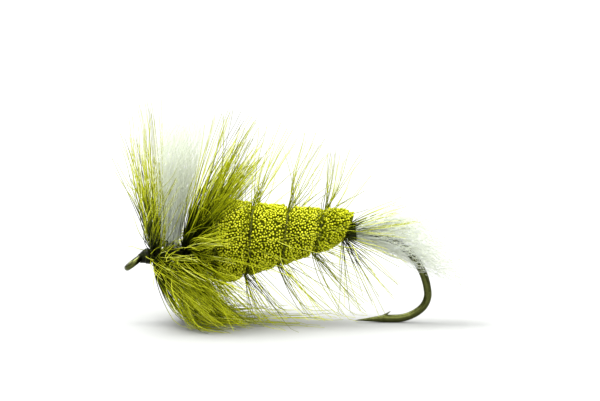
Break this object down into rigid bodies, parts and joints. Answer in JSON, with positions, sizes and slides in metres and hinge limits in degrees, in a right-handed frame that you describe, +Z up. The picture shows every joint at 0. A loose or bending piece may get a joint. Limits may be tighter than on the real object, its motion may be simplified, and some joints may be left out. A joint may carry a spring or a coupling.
{
  "type": "dry fly",
  "caption": "Dry fly: spun and clipped hair body, palmered hackle, upright white wing, white tail and dense hackle collar on a long-shanked hook.",
  "frame": {"origin": "bottom centre of the fly as it sits on a table: midway between the eye and the tail's tips, on the hook's plane", "axes": "+X from the eye towards the tail, +Y across the hook's plane, +Z up from the table"},
  "size_m": [0.0431, 0.0319, 0.0277],
  "materials": {
    "bronze_wire": "bronzed, glossy",
    "thread": "waxed thread",
    "cement": "clear varnish",
    "quill": "dyed quill",
    "hackle": "dyed feather barbs, olive yellow",
    "deer_hair": "spun and clipped, chartreuse olive",
    "white_hair": "crinkled white hair"
  },
  "bodies": {
    "root": {"bundle_thread_1": "thread", "bundle_thread_2": "thread", "bundle_thread_3": "thread", "bundle_thread_4": "thread", "bundle_thread_5": "thread", "bundle_thread_6": "thread", "bundle_thread_7": "thread", "front_hackle_barbs": "hackle", "front_hackle_stem": "quill", "hair_bundle_1": "deer_hair", "hair_bundle_2": "deer_hair", "hair_bundle_3": "deer_hair", "hair_bundle_4": "deer_hair", "hair_bundle_5": "deer_hair", "hair_bundle_6": "deer_hair", "hair_bundle_7": "deer_hair", "head_cement": "cement", "head_thread": "thread", "hook": "bronze_wire", "palmer_barbs_1": "hackle", "palmer_barbs_2": "hackle", "palmer_barbs_3": "hackle", "palmer_stem": "quill", "rear_hackle_barbs_1": "hackle", "rear_hackle_barbs_2": "hackle", "rear_hackle_barbs_3": "hackle", "rear_hackle_stem": "quill", "tail_hair": "white_hair", "tail_thread": "thread", "tail_turn_barbs": "hackle", "tail_turn_stem": "quill", "thread_bed": "thread", "whip_finish": "thread", "wing_hair": "white_hair", "wing_post_thread": "thread", "wing_thread": "thread"}
  },
  "joints": []
}
